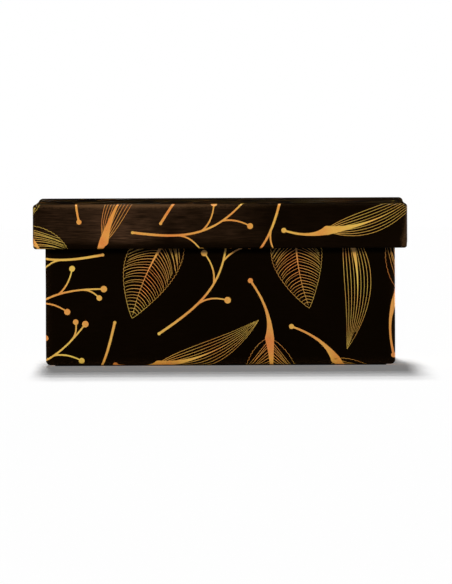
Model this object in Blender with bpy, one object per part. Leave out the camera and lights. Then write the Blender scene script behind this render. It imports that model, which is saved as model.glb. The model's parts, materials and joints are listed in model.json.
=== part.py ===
"""A rigid keepsake box with a loose lid that lifts off, modelled as it is made.

The base and the lid are the same kind of tray. Each is one greyboard blank with a lining sheet
on its inner face, folded up along four lines. The corners stay open as seams and are held by
strips of gummed tape. Printed cover paper then goes round the outside and turns in over the rim.

Units are metres and +Z is up. The origin is the middle of the underside, and the front faces -Y.
"""

import math
from dataclasses import dataclass

import bmesh
import bpy
from mathutils import Matrix, Vector

# Clear room inside the base, between its lining sheets. It takes 5 by 7 inch cards laid flat.
INSIDE_WIDTH = 0.184
INSIDE_DEPTH = 0.134
INSIDE_HEIGHT = 0.0817

# Thickness of each sheet material, and of the line of glue that is left between two of them.
BASE_BOARD = 0.0022
LID_BOARD = 0.0020
COVER_PAPER = 0.00025
LINING_PAPER = 0.0002
UNDERSIDE_PAPER = 0.00025
STAY_TAPE = 0.00015
GLUE_LINE = 0.0003

# The lid: how deep its skirt hangs, and how loosely it goes over the base on each side.
LID_SKIRT = 0.0245
LID_PLAY = 0.0024
LID_REST_GAP = 0.0003

# How the blanks are folded. The outside of a fold is round, because the board stretches there.
BASE_FOLD_RADIUS = 0.0019
LID_FOLD_RADIUS = 0.0012
INNER_FOLD_RADIUS = 0.0006
BOARD_CORNER_RADIUS = 0.0008
CORNER_SEAM = 0.0003
SEAM_BITE = 0.00005

# How the cover paper ends: rounded over the rims, turned in, and turned under the base.
RIM_RADIUS = 0.0012
BASE_TURN_IN = 0.016
LID_TURN_IN = 0.018
UNDER_TURN = 0.015
MITRE_GAP = 0.0005

# The strip round the base closes on the back wall, this far from the corner on the left.
STRIP_SEAM = 0.0003
STRIP_SEAM_INSET = 0.028

# The paper swells over each corner's tape, then comes down to the board along a short slope.
STAY_LEG = 0.011
STAY_MARGIN = 0.001
SWELL_SLOPE = 0.010

# The underside sheet stops short of the folds, and its corners are clipped round.
UNDERSIDE_SETBACK = 0.002
UNDERSIDE_CORNER_RADIUS = 0.0015

# The tightest crease that paper or board can take, and how far a blade runs past what it cuts.
CREASE_RADIUS = 0.0001
BLADE_OVERRUN = 0.001

# Flat steps in each quarter circle.
CORNER_STEPS = 4
FOLD_STEPS = 5
RIM_STEPS = 4
SMOOTH_ANGLE = math.radians(40)

# The arcs of a rim may take up this share of its thickness, so that a flat is left between them.
RIM_ARC_SHARE = 0.45

# Colours as red, green and blue, then roughness.
COVER_FINISH = (0.012, 0.009, 0.006), 0.42
BOARD_FINISH = (0.33, 0.29, 0.24), 0.92
LINING_FINISH = (0.72, 0.67, 0.57), 0.88
TAPE_FINISH = (0.45, 0.30, 0.16), 0.60
UNDERSIDE_FINISH = (0.015, 0.013, 0.011), 0.70

SWELL = STAY_TAPE + GLUE_LINE
COVER_SPACE = COVER_PAPER + GLUE_LINE
LINING_SPACE = LINING_PAPER + GLUE_LINE


@dataclass
class Tray:
    """One folded blank, in its own frame: the middle of its outer face at the origin, walls up."""

    name: str
    half_width: float
    half_depth: float
    board: float
    depth: float
    fold_radius: float
    holder: bpy.types.Object

    @property
    def rim_thickness(self):
        """From the cover paper's outer face to the inner face of its turn-in."""
        return self.board + LINING_SPACE + 2 * COVER_SPACE

    @property
    def rim_radius(self):
        return min(RIM_RADIUS, RIM_ARC_SHARE * self.rim_thickness)

    @property
    def rim_top(self):
        """Height of the cover paper where it goes over the rim."""
        return self.depth + COVER_SPACE

    @property
    def floor(self):
        """Height of the lining sheet's upper face, on which the contents lie."""
        return self.board + LINING_SPACE


def arc(centre, radius, start, end, steps):
    """Points on an arc of the section, from one angle in degrees to another."""
    points = []
    for step in range(steps + 1):
        angle = math.radians(start + (end - start) * step / steps)
        points.append((centre[0] + radius * math.cos(angle), centre[1] + radius * math.sin(angle)))
    return points


def outline(tray, out, swell=0.0):
    """Plan of the tray's rounded rectangle, moved out from the board's outer faces.

    Near each corner it also swells out, over the tape, and slopes back further along the wall.
    """
    points = []
    radius = max(BOARD_CORNER_RADIUS + out, CREASE_RADIUS)
    tape_end = STAY_LEG + STAY_MARGIN - min(out, 0)
    slope_end = tape_end + SWELL_SLOPE
    for quarter in range(4):
        reach, rise = tray.half_width, tray.half_depth
        if quarter % 2:
            reach, rise = rise, reach
        centre = reach + out - radius, rise + out - radius
        corner = [(reach + out, rise - slope_end), (reach + out + swell, rise - tape_end)]
        corner += arc(centre, radius + swell, 0, 90, CORNER_STEPS)
        corner += [(reach - tape_end, rise + out + swell), (reach - slope_end, rise + out)]
        turn = Matrix.Rotation(math.radians(90 * quarter), 2)
        points += [turn @ Vector(point) for point in corner]
    return points


def ring(tray, out, height, swell=0.0):
    return [(point.x, point.y, height) for point in outline(tray, out, swell)]


def material(name, finish):
    """A plain finish, made once and shared."""
    found = bpy.data.materials.get(name)
    if found:
        return found
    colour, roughness = finish
    made = bpy.data.materials.new(name)
    made.use_nodes = True
    shader = made.node_tree.nodes["Principled BSDF"]
    shader.inputs["Base Color"].default_value = (*colour, 1)
    shader.inputs["Roughness"].default_value = roughness
    shader.inputs["Metallic"].default_value = 0
    made.diffuse_color = (*colour, 1)
    return made


def add_object(name, bm, holder, finish=None):
    """Turns a bmesh into an object of the scene, held by its body's empty."""
    bmesh.ops.recalc_face_normals(bm, faces=bm.faces)
    mesh = bpy.data.meshes.new(name)
    bm.to_mesh(mesh)
    bm.free()
    made = bpy.data.objects.new(name, mesh)
    bpy.context.scene.collection.objects.link(made)
    made.parent = holder
    if finish:
        mesh.shade_smooth()
        mesh.set_sharp_from_angle(angle=SMOOTH_ANGLE)
        mesh.materials.append(finish)
    return made


def loft(rings, closed=False):
    """A skin through rings of equal length. It is capped at both ends, or closed on itself."""
    bm = bmesh.new()
    loops = [[bm.verts.new(point) for point in points] for points in rings]
    pairs = list(zip(loops, loops[1:]))
    if closed:
        pairs.append((loops[-1], loops[0]))
    for lower, upper in pairs:
        for here in range(len(lower)):
            after = (here + 1) % len(lower)
            bm.faces.new((lower[here], lower[after], upper[after], upper[here]))
    if not closed:
        bm.faces.new(loops[0])
        bm.faces.new(loops[-1])
    return bm


def add_blade(bm, middle, size, turn=0.0):
    """One straight blade of a cutter: a box at that place, turned about the vertical."""
    place = Matrix.Translation(middle) @ Matrix.Rotation(turn, 4, "Z") @ Matrix.Diagonal((*size, 1))
    bmesh.ops.create_cube(bm, size=1, matrix=place)


def cut(target, blades):
    """Cuts the blades out of a piece, and keeps them in the scene as a hidden guide."""
    cutter = add_object(f"{target.name}_blades", blades, target.parent)
    cutter.hide_render = True
    cutter.display_type = "WIRE"
    modifier = target.modifiers.new("Slits", "BOOLEAN")
    modifier.operation = "DIFFERENCE"
    modifier.solver = "EXACT"
    modifier.object = cutter


def corner_seams(tray, inner_face, outer_face, foot, top):
    """Blades for the open corners of a folded sheet: the side walls end just inside the long ones.

    The faces are given as offsets from the board's outer faces. Each seam opens part of the way
    up the fold, and presses a shallow crease into the wall that it runs along.
    """
    blades = bmesh.new()
    inner_end = tray.half_width + inner_face - BLADE_OVERRUN
    outer_end = tray.half_width + outer_face + BLADE_OVERRUN
    seam_middle = tray.half_depth + inner_face + (SEAM_BITE - CORNER_SEAM) / 2
    high = top + BLADE_OVERRUN
    size = (outer_end - inner_end, CORNER_SEAM + SEAM_BITE, high - foot)
    for side in (-1, 1):
        for end in (-1, 1):
            middle = side * (inner_end + outer_end) / 2, end * seam_middle, (foot + high) / 2
            add_blade(blades, middle, size)
    return blades


def mitre_blades(blades, tray, from_out, to_out, low, high):
    """Blades along the four diagonals of the plan, between two offsets from the board's faces."""
    out = (from_out + to_out) / 2
    size = (math.sqrt(2) * (to_out - from_out), MITRE_GAP, high - low)
    for side in (-1, 1):
        for end in (-1, 1):
            middle = side * (tray.half_width + out), end * (tray.half_depth + out), (low + high) / 2
            add_blade(blades, middle, size, math.atan2(end, side))


def board_blank(tray):
    """The greyboard: one sheet, folded up on four sides, with its corners left open."""
    fold = tray.fold_radius
    ease = max(tray.rim_radius - COVER_SPACE, CREASE_RADIUS)
    inner = INNER_FOLD_RADIUS
    section = arc((-fold, fold), fold, -90, 0, FOLD_STEPS)
    section += arc((-ease, tray.depth - ease), ease, 0, 90, RIM_STEPS)
    section.append((-tray.board, tray.depth))
    section += arc((-tray.board - inner, tray.board + inner), inner, 0, -90, FOLD_STEPS)
    blank = loft([ring(tray, out, height) for out, height in section])
    made = add_object(f"{tray.name}_board", blank, tray.holder, material("greyboard", BOARD_FINISH))
    cut(made, corner_seams(tray, -tray.board, 0, tray.board + inner / 2, tray.depth))


def lining_sheet(tray):
    """The lining: a sheet pasted on the blank before it is folded, so it follows its inner face."""
    back = -tray.board - GLUE_LINE
    face = -tray.floor
    foot = -back
    top = tray.rim_top - tray.rim_radius
    back_fold = max(INNER_FOLD_RADIUS - GLUE_LINE, CREASE_RADIUS)
    face_fold = max(back_fold - LINING_PAPER, CREASE_RADIUS)
    section = arc((back - back_fold, foot + back_fold), back_fold, -90, 0, FOLD_STEPS)
    section += [(back, top), (face, top)]
    section += arc((face - face_fold, tray.floor + face_fold), face_fold, 0, -90, FOLD_STEPS)
    sheet = loft([ring(tray, out, height) for out, height in section])
    made = add_object(f"{tray.name}_lining", sheet, tray.holder, material("lining", LINING_FINISH))
    cut(made, corner_seams(tray, face, back, tray.floor + INNER_FOLD_RADIUS / 2, top))


def corner_stay(tray, side, end, name):
    """Gummed tape round one outside corner of the blank, from the fold to the rim."""
    near = BOARD_CORNER_RADIUS + GLUE_LINE
    far = near + STAY_TAPE
    centre = tray.half_width - BOARD_CORNER_RADIUS, tray.half_depth - BOARD_CORNER_RADIUS
    leg_x, leg_y = centre[0] - STAY_LEG, centre[1] - STAY_LEG
    plan = [(centre[0] + far, leg_y), *arc(centre, far, 0, 90, CORNER_STEPS), (leg_x, centre[1] + far)]
    plan += [(leg_x, centre[1] + near), *arc(centre, near, 90, 0, CORNER_STEPS), (centre[0] + near, leg_y)]
    low, high = tray.fold_radius, tray.depth - tray.rim_radius
    stay = loft([[(side * x, end * y, height) for x, y in plan] for height in (low, high)])
    add_object(f"{tray.name}_corner_stay_{name}", stay, tray.holder, material("gummed_tape", TAPE_FINISH))


def cover_section(tray, offset, turn_in):
    """One face of the cover paper: up from the fold, over the rim and down inside.

    The offset is from the paper's glued face. Each point is out, height and share of the swell.
    """
    fold = tray.fold_radius
    rim = tray.rim_radius
    bend = rim - COVER_PAPER + offset
    rim_height = tray.rim_top - rim
    outer_centre = COVER_SPACE - rim
    inner_centre = outer_centre - tray.rim_thickness + 2 * rim
    points = [(*point, 1) for point in arc((-fold, fold), fold + GLUE_LINE + offset, -90, 0, FOLD_STEPS)]
    points += [(*point, 1) for point in arc((outer_centre, rim_height), bend, 0, 90, RIM_STEPS)]
    points += [(*point, 0) for point in arc((inner_centre, rim_height), bend, 90, 180, RIM_STEPS)]
    points.append((inner_centre - bend, tray.rim_top - turn_in, 0))
    return points


def cover_rings(tray, section):
    return [ring(tray, out, height, share * SWELL) for out, height, share in section]


def turn_in_mitres(tray, turn_in):
    """Blades for the inner corners, where the turned-in flaps are cut so as not to overlap."""
    blades = bmesh.new()
    face = COVER_SPACE - tray.rim_thickness
    low = tray.rim_top - turn_in - BLADE_OVERRUN
    high = tray.rim_top - 2 * tray.rim_radius
    mitre_blades(blades, tray, face - BLADE_OVERRUN, face + COVER_SPACE, low, high)
    return blades


def strip_seam_blade(blades, tray):
    """The blade that parts the two ends of the base's strip, from under the floor to the turn-in."""
    front, back = -UNDER_TURN - BLADE_OVERRUN, COVER_SPACE + BLADE_OVERRUN
    low, high = -COVER_SPACE - BLADE_OVERRUN, tray.rim_top + BLADE_OVERRUN
    x = STRIP_SEAM_INSET - tray.half_width
    middle = x, tray.half_depth + (front + back) / 2, (low + high) / 2
    add_blade(blades, middle, (STRIP_SEAM, back - front, high - low))


def base_cover(tray):
    """The printed strip round the base: turned in over the rim, and under the floor at its foot."""
    outer = cover_section(tray, COVER_PAPER, BASE_TURN_IN)
    glued = cover_section(tray, 0, BASE_TURN_IN)
    section = [(-UNDER_TURN, -COVER_SPACE, 0), *outer, *reversed(glued), (-UNDER_TURN, -GLUE_LINE, 0)]
    paper = loft(cover_rings(tray, section), closed=True)
    made = add_object("base_cover_paper", paper, tray.holder, material("cover_paper", COVER_FINISH))
    blades = turn_in_mitres(tray, BASE_TURN_IN)
    low, high = -COVER_SPACE - BLADE_OVERRUN, -GLUE_LINE / 2
    mitre_blades(blades, tray, -UNDER_TURN - BLADE_OVERRUN, -tray.fold_radius - SWELL, low, high)
    strip_seam_blade(blades, tray)
    cut(made, blades)


def lid_cover(tray):
    """The printed sheet over the lid: its whole top and skirt, turned in at the lower edge."""
    outer = cover_section(tray, COVER_PAPER, LID_TURN_IN)
    glued = cover_section(tray, 0, LID_TURN_IN)
    paper = loft(cover_rings(tray, [*outer, *reversed(glued)]))
    made = add_object("lid_cover_paper", paper, tray.holder, material("cover_paper", COVER_FINISH))
    cut(made, turn_in_mitres(tray, LID_TURN_IN))


def underside_sheet(tray):
    """The plain sheet that hides the turned-under edges, and on which the box stands."""
    half_width = tray.half_width - tray.fold_radius - UNDERSIDE_SETBACK
    half_depth = tray.half_depth - tray.fold_radius - UNDERSIDE_SETBACK
    radius = UNDERSIDE_CORNER_RADIUS
    corner = arc((half_width - radius, half_depth - radius), radius, 0, 90, CORNER_STEPS)
    half = corner + [(-x, y) for x, y in reversed(corner)]
    plan = half + [(x, -y) for x, y in reversed(half)]
    top = -COVER_SPACE - GLUE_LINE
    sheet = loft([[(x, y, height) for x, y in plan] for height in (top - UNDERSIDE_PAPER, top)])
    add_object("base_underside_sheet", sheet, tray.holder, material("underside", UNDERSIDE_FINISH))


def body_holder(name, height, turned_over=False):
    """The empty that carries one body. A lid is a tray turned over about the X axis."""
    holder = bpy.data.objects.new(name, None)
    bpy.context.scene.collection.objects.link(holder)
    holder.location = (0, 0, height)
    if turned_over:
        holder.rotation_euler = (math.pi, 0, 0)
    return holder


def add_corner_stays(tray, front_end):
    """Four tapes, named as seen from the front of the box."""
    for side, side_name in ((-1, "left"), (1, "right")):
        for end, end_name in ((front_end, "front"), (-front_end, "back")):
            corner_stay(tray, side, end, f"{end_name}_{side_name}")


def make_base():
    """The base tray, from the underside sheet up."""
    tray = Tray(
        name="base",
        half_width=INSIDE_WIDTH / 2 + LINING_SPACE + BASE_BOARD,
        half_depth=INSIDE_DEPTH / 2 + LINING_SPACE + BASE_BOARD,
        board=BASE_BOARD,
        depth=BASE_BOARD + LINING_SPACE + INSIDE_HEIGHT - COVER_SPACE,
        fold_radius=BASE_FOLD_RADIUS,
        holder=body_holder("base", UNDERSIDE_PAPER + GLUE_LINE + COVER_SPACE),
    )
    board_blank(tray)
    lining_sheet(tray)
    add_corner_stays(tray, front_end=-1)
    base_cover(tray)
    underside_sheet(tray)
    return tray


def make_lid(base):
    """The lid tray, turned over so that its lining rests on the base's rim."""
    base_cover_out = COVER_SPACE + SWELL
    spread = base_cover_out + LID_PLAY + COVER_SPACE + LINING_SPACE + LID_BOARD
    rim_height = base.holder.location.z + base.rim_top
    board_height = rim_height + LID_REST_GAP + LINING_SPACE + LID_BOARD
    tray = Tray(
        name="lid",
        half_width=base.half_width + spread,
        half_depth=base.half_depth + spread,
        board=LID_BOARD,
        depth=LID_SKIRT - 2 * COVER_SPACE,
        fold_radius=LID_FOLD_RADIUS,
        holder=body_holder("lid", board_height, turned_over=True),
    )
    board_blank(tray)
    lining_sheet(tray)
    add_corner_stays(tray, front_end=1)
    lid_cover(tray)


def main():
    for item in list(bpy.data.objects):
        bpy.data.objects.remove(item)
    base = make_base()
    make_lid(base)


main()
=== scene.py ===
# %% [markdown]
# # A keepsake box covered in printed paper
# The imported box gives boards, tapes, linings and covers at their real size. This lesson dresses
# it. The two cover papers are folded again as finer sheets, a gold pattern is printed on them,
# and every surface gets a finish. The frame comes first, because all the rest is placed by it.

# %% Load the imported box
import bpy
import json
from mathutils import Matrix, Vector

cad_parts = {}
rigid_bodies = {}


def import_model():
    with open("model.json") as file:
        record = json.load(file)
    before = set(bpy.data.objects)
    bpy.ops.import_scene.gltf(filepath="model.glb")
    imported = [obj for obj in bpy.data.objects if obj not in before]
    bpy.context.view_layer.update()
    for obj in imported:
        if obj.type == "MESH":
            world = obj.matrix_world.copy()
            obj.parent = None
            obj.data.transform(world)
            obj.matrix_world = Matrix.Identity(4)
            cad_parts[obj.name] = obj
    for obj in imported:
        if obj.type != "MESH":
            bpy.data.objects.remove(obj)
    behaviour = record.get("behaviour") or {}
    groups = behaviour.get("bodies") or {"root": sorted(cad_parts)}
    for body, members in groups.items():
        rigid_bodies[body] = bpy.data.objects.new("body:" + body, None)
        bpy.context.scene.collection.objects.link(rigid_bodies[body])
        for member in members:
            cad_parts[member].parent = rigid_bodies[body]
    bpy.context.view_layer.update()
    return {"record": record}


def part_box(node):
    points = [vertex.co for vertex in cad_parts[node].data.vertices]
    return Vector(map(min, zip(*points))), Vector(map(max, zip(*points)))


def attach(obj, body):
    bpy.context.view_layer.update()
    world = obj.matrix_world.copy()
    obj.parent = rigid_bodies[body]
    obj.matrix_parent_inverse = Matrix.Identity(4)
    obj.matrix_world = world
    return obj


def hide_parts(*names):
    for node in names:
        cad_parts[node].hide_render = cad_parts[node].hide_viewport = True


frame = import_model()

# %% Tools for meshes and numbers
import json
import math
from dataclasses import dataclass

import bmesh
import bpy
import numpy as np
from mathutils import Quaternion, Vector

# %% [markdown]
# ## How the paper is folded
# A box-maker's cover is one flat sheet, glued on and folded over every edge of the board. So one
# function here takes a point of the flat sheet and says where it ends up on the box. The cover
# is a grid sent through that function, and so is the gold print. That way the print lies on its
# paper everywhere, round the folds as well.

# %% Sizes of the paper and of its folds
COVER_PAPER = 0.0002
COVER_FACE = 0.00055
RIM_RADIUS = 0.0012
BOARD_CORNER = 0.0008
GLUE_LINE, LINING_SPACE = 0.0003, 0.0005
BASE_FOLD, LID_FOLD = 0.0019, 0.0012
BASE_TURN_IN, LID_TURN_IN = 0.016, 0.018
UNDER_TURN = 0.012

# The tape under each corner lifts the paper a little, over this length of wall.
TAPE_LIFT = 0.0004
TAPE_LEG, TAPE_SLOPE = 0.013, 0.009

# Glued paper is never dead flat. Two slow waves of this height cross each other on it.
WAVE_HEIGHT = 0.00003
WAVE_LENGTHS = 0.043, 0.071
WAVE_STARTS = 1.3, 0.4

# The free edge of a turned-in flap is pressed down onto the lining.
PRESSED_DOWN = 0.0002
ARC_STEPS = 24


# %% The section of a cover, from the closed face over the rim to its edge
def cover_section(depth, board, fold, turn_in):
    """Points and normals of the cover's face: out from the board, and up from the closed face."""
    rim_top = depth + COVER_FACE
    rim_height = rim_top - RIM_RADIUS
    inner_face = -board - LINING_SPACE - COVER_FACE
    bends = [
        (-fold, fold, fold + COVER_FACE, -90),
        (COVER_FACE - RIM_RADIUS, rim_height, RIM_RADIUS, 0),
        (inner_face + RIM_RADIUS, rim_height, RIM_RADIUS, 90),
    ]
    points, normals = [], []
    for out, height, radius, start in bends:
        for angle in np.radians(np.linspace(start, start + 90, ARC_STEPS + 1)):
            normals.append((math.cos(angle), math.sin(angle)))
            points.append((out + radius * math.cos(angle), height + radius * math.sin(angle)))
    points.append((inner_face + PRESSED_DOWN, rim_top - turn_in))
    normals.append((-1, 0))
    return np.array(points), np.array(normals)


# %% One folded tray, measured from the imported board
@dataclass
class Tray:
    """A tray of board, open on one side: the base upwards, the lid downwards."""

    name: str
    up: int
    fold: float
    turn_in: float

    def __post_init__(self):
        low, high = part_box(f"{self.name}_board")
        self.half_width, self.half_depth = high.x, high.y
        self.closed_face = low.z if self.up > 0 else high.z
        self.board = self.half_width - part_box(f"{self.name}_lining")[1].x - GLUE_LINE
        self.flat_width = self.half_width - BOARD_CORNER
        self.flat_depth = self.half_depth - BOARD_CORNER
        self.corner = (BOARD_CORNER + COVER_FACE) * math.pi / 2
        depth = high.z - low.z
        self.points, self.normals = cover_section(depth, self.board, self.fold, self.turn_in)
        self.mark_lengths()

    def mark_lengths(self):
        """The length of paper to each point of the section, and to both ends of each bend."""
        steps = np.linalg.norm(np.diff(self.points, axis=0), axis=1)
        lengths = self.lengths = np.concatenate([[0], np.cumsum(steps)])
        count = ARC_STEPS + 1
        self.fold_end, self.rim_start = lengths[count - 1], lengths[count]
        self.rim_middle, self.rim_inner = lengths[2 * count - 1], lengths[2 * count]
        self.rim_end, self.sheet_end = lengths[3 * count - 1], lengths[-1]
        round_part = self.points[:count, 0] > -BOARD_CORNER
        self.corner_start = lengths[int(np.argmax(round_part))]
        self.corner_end = self.rim_middle


base = Tray("base", 1, BASE_FOLD, BASE_TURN_IN)
lid = Tray("lid", -1, LID_FOLD, LID_TURN_IN)
for tray in (base, lid):
    print(tray.name, "board:", round(tray.board, 5), "fold to edge:", round(tray.sheet_end, 4))

# %% [markdown]
# ## The folding function
# `along` runs along a wall from its middle, and past the flat stretch it goes round the corner.
# `down` is the length of paper from where the closed face ends: round the fold, along the wall,
# over the rim and back inside. Numpy arrays carry all the points of a sheet at once.

# %% Helpers for the uneven surface
TOP = 4
FRONT, RIGHT, BACK, LEFT = range(4)
TANGENTS = np.array([(1, 0), (0, 1), (-1, 0), (0, -1), (1, 0)], float)
NORMALS = np.array([(0, -1), (1, 0), (0, 1), (-1, 0), (0, 1)], float)


def smooth(low, high, value):
    """0 up to low, 1 from high on, and a smooth slope between."""
    share = np.clip((value - low) / (high - low), 0, 1)
    return share * share * (3 - 2 * share)


def waves(x, y, z):
    """The slow unevenness of glued paper."""
    short, long = (2 * math.pi / length for length in WAVE_LENGTHS)
    first = np.sin(short * x + long * y + WAVE_STARTS[0]) * np.sin(long * z - short * y)
    second = np.sin(long * x - short * z + WAVE_STARTS[1]) * np.cos(short * y + long * x)
    return WAVE_HEIGHT * (first + second)


# %% Fold a point of the sheet onto a wall
def wall_point(tray, wall, along, out):
    """Plan of a point on a wall, at an offset from the board's outer face."""
    long_wall = wall % 2 == 0
    flat = np.where(long_wall, tray.flat_width, tray.flat_depth)
    reach = np.where(long_wall, tray.half_depth, tray.half_width)
    radius = np.maximum(BOARD_CORNER + out, 0)
    flat_here = flat + np.minimum(BOARD_CORNER + out, 0)
    over = np.maximum(np.abs(along) - flat, 0)
    angle = np.clip(over / tray.corner, 0, 1) * math.pi / 2
    rounded = np.sign(along) * (flat_here + radius * np.sin(angle))
    across = np.where(over > 0, rounded, along * flat_here / flat)
    back = reach + out - radius * (1 - np.cos(angle)) - np.maximum(over - tray.corner, 0)
    return NORMALS[wall] * back[:, None] + TANGENTS[wall] * across[:, None]


def fold_onto_wall(tray, wall, along, down, proud):
    """Where points of the flat sheet lie on the finished box, this far proud of its face."""
    wall, along, down, proud = np.broadcast_arrays(wall, along, down, proud)
    length = np.maximum(down, 0)
    out, height = (np.interp(length, tray.lengths, tray.points[:, k]) for k in (0, 1))
    normal_out, normal_up = (np.interp(length, tray.lengths, tray.normals[:, k]) for k in (0, 1))
    out = out + np.minimum(down, 0)
    facing = np.maximum(normal_out, 0) * (down > 0)
    flat = np.where(wall % 2 == 0, tray.flat_width, tray.flat_depth)
    lifted = smooth(flat - TAPE_LEG - TAPE_SLOPE, flat - TAPE_LEG, np.abs(along))
    out = out + TAPE_LIFT * lifted * facing
    plan = wall_point(tray, wall, along, out)
    z = tray.closed_face + tray.up * height
    proud = proud + facing * waves(plan[:, 0], plan[:, 1], z)
    plan = wall_point(tray, wall, along, out + proud * normal_out)
    return np.column_stack([plan, z + tray.up * proud * normal_up])


print("front wall, middle:", fold_onto_wall(base, np.array([FRONT]), [0.0], [0.04], [0.0]).round(4))

# %% [markdown]
# ## The base's strip
# The base is covered with one long strip. It goes round all four walls and laps over its own
# start on the back, where it shows least. Along the strip, zero is the middle of the front. The
# lapped end lies on paper, so it stands one thickness further out.

# %% Lay a point of the strip round the base
SEAM_INSET, SEAM_LAP = 0.028, 0.011
LAP_GLUE, LAP_SLOPE = 0.00003, 2 * COVER_FACE
LAP_LIFT = COVER_PAPER + LAP_GLUE

strip_length = 4 * (base.flat_width + base.flat_depth + base.corner)
strip_end = strip_length / 2 + base.half_width - SEAM_INSET
strip_start = strip_end - strip_length
strip_flats = np.array([base.flat_width, base.flat_depth] * 2)
strip_walls = np.concatenate([[0], np.cumsum(2 * strip_flats + base.corner)[:-1]]) - base.flat_width
print("strip round the base, metres:", round(strip_length + SEAM_LAP, 4))


def wrap_round_base(wall, strip, down, proud):
    """Where points of the strip lie on the base."""
    turns = np.floor((strip - strip_walls[wall] + base.corner / 2) / strip_length)
    along = strip - turns * strip_length - strip_walls[wall] - strip_flats[wall]
    lift = LAP_LIFT * smooth(strip_end - LAP_SLOPE, strip_end, strip)
    return fold_onto_wall(base, wall, along, down, proud + lift)


# %% [markdown]
# ## The lid's sheet
# One sheet covers the lid's top and makes its four flaps. The long flaps are folded first, and
# their tabs go round the corners. The short flaps lie over those tabs, so a fine seam shows at
# each corner of the short sides. Here, zero is the middle of the top.

# %% Lay a point of the lid's sheet
TAB_LENGTH, TAB_SLOPE = 0.009, 0.004
FOLD_EASE, TOP_EASE = 0.003, 0.012


def wrap_over_lid(wall, x, y, proud):
    """Where points of the lid's sheet lie on the lid."""
    wall, x, y, proud = np.broadcast_arrays(wall, x, y, proud)
    on_long, on_short = wall % 2 == 0, wall % 2 == 1
    along = x * TANGENTS[wall, 0] + y * TANGENTS[wall, 1]
    down = np.where(on_long, np.abs(y) - lid.flat_depth, np.abs(x) - lid.flat_width)
    down = np.maximum(down, 0)
    tab = lid.flat_depth - TAB_LENGTH
    near_end = smooth(tab - TAB_SLOPE, tab, np.abs(along))
    above_rim = 1 - smooth(lid.rim_start - FOLD_EASE, lid.rim_start, down)
    lift = on_short * LAP_LIFT * near_end * smooth(0, FOLD_EASE, down) * above_rim
    folded = fold_onto_wall(lid, wall, along, down, proud + lift)
    top_x = x * (lid.half_width - lid.fold) / lid.flat_width
    top_y = y * (lid.half_depth - lid.fold) / lid.flat_depth
    inside = smooth(0, TOP_EASE, np.minimum(lid.flat_width - np.abs(x), lid.flat_depth - np.abs(y)))
    face = lid.closed_face + COVER_FACE
    top = np.column_stack([top_x, top_y, face + proud + inside * waves(top_x, top_y, face)])
    return np.where((wall == TOP)[:, None], top, folded)


lid_sheet = 2 * np.array([lid.flat_width + lid.sheet_end, lid.flat_depth + lid.sheet_end])
print("lid's sheet, metres:", lid_sheet.round(4))

# %% [markdown]
# ## From a grid to a sheet of paper
# A sheet is made of patches of squares, closer together where the paper bends. The patches are
# joined while they are still flat, so two edges that only meet on the finished box stay two
# edges, as in real paper. Solidify then gives the paper its thickness.

# %% Grid lines that are close where the paper bends
GRID_STEP = 0.0025
BEND_STEPS, TAPE_STEPS, TAB_STEPS, EASE_STEPS = 6, 9, 8, 6

# Lines that agree to so many digits of a metre are one line.
LINE_DIGITS = 9
SLACK = 1e-9


def lines(start, end, count=None):
    """Grid lines from start to end, about one grid step apart where no count is given."""
    return np.linspace(start, end, 1 + (count or max(1, round((end - start) / GRID_STEP))))


def lines_with_rises(start, end, rises):
    """Grid lines from start to end, where the close lines of a rise replace the wide ones."""
    wide = lines(start, end)
    for rise in rises:
        wide = wide[(wide < rise[0] - GRID_STEP / 4) | (wide > rise[-1] + GRID_STEP / 4)]
    merged = np.unique(np.concatenate([wide, *rises, [start, end]]).round(LINE_DIGITS))
    return merged[(merged > start - SLACK) & (merged < end + SLACK)]


def mirrored_rise(low, high, steps, middle=0.0):
    """The close lines of a rise, and those of its mirror image on the other side of the middle."""
    rise = lines(low, high, steps)
    return [middle + rise, middle - rise[::-1]]


# %% Where the lines lie close
def tape_rises(flat, middle=0.0):
    """Where the paper of a wall rises onto the tapes at its two ends."""
    return mirrored_rise(flat - TAPE_LEG - TAPE_SLOPE, flat - TAPE_LEG, TAPE_STEPS, middle)


def tab_rises():
    """Where the paper of the lid's short sides rises onto the tabs of the long ones."""
    tab = lid.flat_depth - TAB_LENGTH
    return mirrored_rise(tab - TAB_SLOPE, tab, TAB_STEPS)


def ease_lines():
    """Where that rise eases in below the lid's fold and out above its rim."""
    return [lines(lid.fold_end, lid.fold_end + FOLD_EASE, EASE_STEPS),
            lines(lid.rim_start - FOLD_EASE, lid.rim_start, EASE_STEPS)]


# %% Lines across the sheet
ROW_SLACK = 1e-6


def bend_lines(tray):
    """Lines across the sheet where it bends: at the fold and at the rim."""
    fold = lines(0, tray.fold_end, BEND_STEPS)
    outer = lines(tray.rim_start, tray.rim_middle, BEND_STEPS)
    inner = lines(tray.rim_inner, tray.rim_end, BEND_STEPS)
    return fold, outer, inner


def section_lines(tray, start=0.0):
    """All lines across the sheet, from the closed face to the turned-in edge."""
    fold, outer, inner = bend_lines(tray)
    wall = lines_with_rises(fold[-1], outer[0], ease_lines() if tray is lid else [])
    parts = [fold, wall, outer, inner, lines(inner[-1], tray.sheet_end)]
    if start < 0:
        parts.insert(0, lines(start, 0))
    return np.unique(np.concatenate(parts).round(LINE_DIGITS))


def corner_lines(tray, rows):
    """The lines that also run round the corner, from the fold to the rim."""
    first = tray.corner_start - tray.fold_end / (2 * BEND_STEPS)
    return rows[(rows > first) & (rows < tray.corner_end + ROW_SLACK)]


for tray in (base, lid):
    rows = section_lines(tray)
    print(tray.name, "lines:", len(rows), "round the corner:", len(corner_lines(tray, rows)))


# %% Patches of squares on the flat sheet
MITRE_SLOPE = 0.12
POINT_DIGITS = 7


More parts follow.
